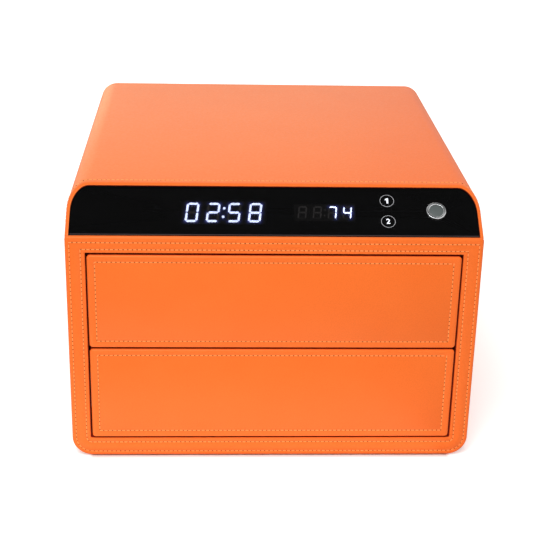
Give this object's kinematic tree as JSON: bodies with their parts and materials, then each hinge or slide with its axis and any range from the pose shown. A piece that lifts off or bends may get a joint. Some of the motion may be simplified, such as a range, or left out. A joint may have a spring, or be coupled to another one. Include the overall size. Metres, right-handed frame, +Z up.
{
  "type": "biometric jewelry safe",
  "caption": "Leather-wrapped jewelry safe with stacked pull-out drawers and a sloped black glass panel holding a clock, touch keys and a fingerprint reader.",
  "frame": {"origin": "under the middle of the whole box, on the floor under the feet", "axes": "+Z up, front and drawers towards -Y, +X to the right seen from the front"},
  "size_m": [0.35, 0.395, 0.2398],
  "materials": {
    "leather": "fine-grain satin leather with stitched edges",
    "painted_steel": "powder-coated sheet",
    "bright_steel": "zinc-bright, brushed",
    "ring": "satin chrome",
    "glass": "black tempered glass",
    "black_plastic": "fine texture",
    "display": "dark display block",
    "segments": "white display segments",
    "circuit": "green circuit board",
    "sensor": "grey sensor face",
    "rubber": "matt rubber",
    "suede": "microfibre suede",
    "tray": "dark-covered board",
    "brass": "machined brass",
    "cell": "printed battery sleeve",
    "motor": "plated motor can"
  },
  "bodies": {
    "cabinet": {"leather_wrap": "leather", "steel_body": "painted_steel", "rear_plate": "painted_steel", "back_cover": "leather", "front_plate": "painted_steel", "front_frame": "leather", "partition_plate": "painted_steel", "left_runner_bracket": "painted_steel", "right_runner_bracket": "painted_steel", "rubber_feet": "rubber", "glass_panel": "glass", "panel_carrier": "black_plastic", "clock_display": "display", "climate_display": "display", "clock_segments": "segments", "climate_segments": "segments", "touch_board": "circuit", "touch_pads": "black_plastic", "fingerprint_bezel": "ring", "fingerprint_sensor": "sensor", "fingerprint_nut": "bright_steel", "main_board": "circuit", "board_standoffs": "brass", "battery_box": "black_plastic", "battery_cells": "cell", "dc_inlet": "black_plastic", "upper_lock_case": "bright_steel", "lower_lock_case": "bright_steel", "upper_lock_motor": "motor", "lower_lock_motor": "motor", "override_cylinder": "ring", "upper_ejector_spring": "bright_steel", "lower_ejector_spring": "bright_steel", "ejector_pins": "bright_steel", "lock_screws": "bright_steel", "back_cover_screws": "bright_steel", "upper_outer_rails": "bright_steel", "lower_outer_rails": "bright_steel"},
    "upper_drawer": {"upper_drawer_front": "leather", "upper_drawer_tray": "tray", "upper_drawer_lining": "suede", "upper_keeper": "bright_steel", "drawer_front_screws_upper": "bright_steel", "upper_inner_rails": "bright_steel"},
    "lower_drawer": {"lower_drawer_front": "leather", "lower_drawer_tray": "tray", "lower_drawer_lining": "suede", "lower_keeper": "bright_steel", "drawer_front_screws_lower": "bright_steel", "lower_inner_rails": "bright_steel"},
    "upper_runners": {"upper_middle_rails": "bright_steel"},
    "lower_runners": {"lower_middle_rails": "bright_steel"},
    "upper_bolt": {"upper_lock_bolt": "bright_steel"},
    "lower_bolt": {"lower_lock_bolt": "bright_steel"},
    "upper_pinion": {"upper_lock_pinion": "brass"},
    "lower_pinion": {"lower_lock_pinion": "brass"},
    "override_key": {"override_plug": "brass", "override_cam": "bright_steel"},
    "battery_door": {"battery_cover": "black_plastic"}
  },
  "joints": [
    {"name": "upper_drawer_slide", "type": "slide", "parent": "cabinet", "child": "upper_drawer", "axis": [0, -1, 0], "range_m": [0, 0.25], "deforming": ["upper_ejector_spring"]},
    {"name": "upper_runner_slide", "type": "slide", "parent": "cabinet", "child": "upper_runners", "axis": [0, -1, 0], "range_m": [0, 0.125]},
    {"name": "upper_bolt_slide", "type": "slide", "parent": "cabinet", "child": "upper_bolt", "axis": [-1, 0, 0], "range_m": [0, 0.01]},
    {"name": "upper_pinion_turn", "type": "hinge", "parent": "cabinet", "child": "upper_pinion", "pos_m": [0.026, 0.1823, 0.12655], "axis": [0, 0, 1], "range_deg": [-104, 0]},
    {"name": "lower_drawer_slide", "type": "slide", "parent": "cabinet", "child": "lower_drawer", "axis": [0, -1, 0], "range_m": [0, 0.25], "deforming": ["lower_ejector_spring"]},
    {"name": "lower_runner_slide", "type": "slide", "parent": "cabinet", "child": "lower_runners", "axis": [0, -1, 0], "range_m": [0, 0.125]},
    {"name": "lower_bolt_slide", "type": "slide", "parent": "cabinet", "child": "lower_bolt", "axis": [1, 0, 0], "range_m": [0, 0.01]},
    {"name": "lower_pinion_turn", "type": "hinge", "parent": "cabinet", "child": "lower_pinion", "pos_m": [-0.026, 0.1823, 0.08555], "axis": [0, 0, 1], "range_deg": [0, 104]},
    {"name": "override_turn", "type": "hinge", "parent": "cabinet", "child": "override_key", "pos_m": [0, 0.1875, 0.10605], "axis": [0, 1, 0], "range_deg": [0, 180]},
    {"name": "battery_door_swing", "type": "hinge", "parent": "cabinet", "child": "battery_door", "pos_m": [0, 0.1951, 0.2287], "axis": [1, 0, 0], "range_deg": [0, 100]}
  ],
  "couplings": [
    {"joint": "upper_runner_slide", "follows": "upper_drawer_slide", "ratio": 0.5},
    {"joint": "lower_runner_slide", "follows": "lower_drawer_slide", "ratio": 0.5},
    {"joint": "upper_pinion_turn", "follows": "upper_bolt_slide", "rad_per_m": -178.57},
    {"joint": "lower_pinion_turn", "follows": "lower_bolt_slide", "rad_per_m": 178.57}
  ]
}
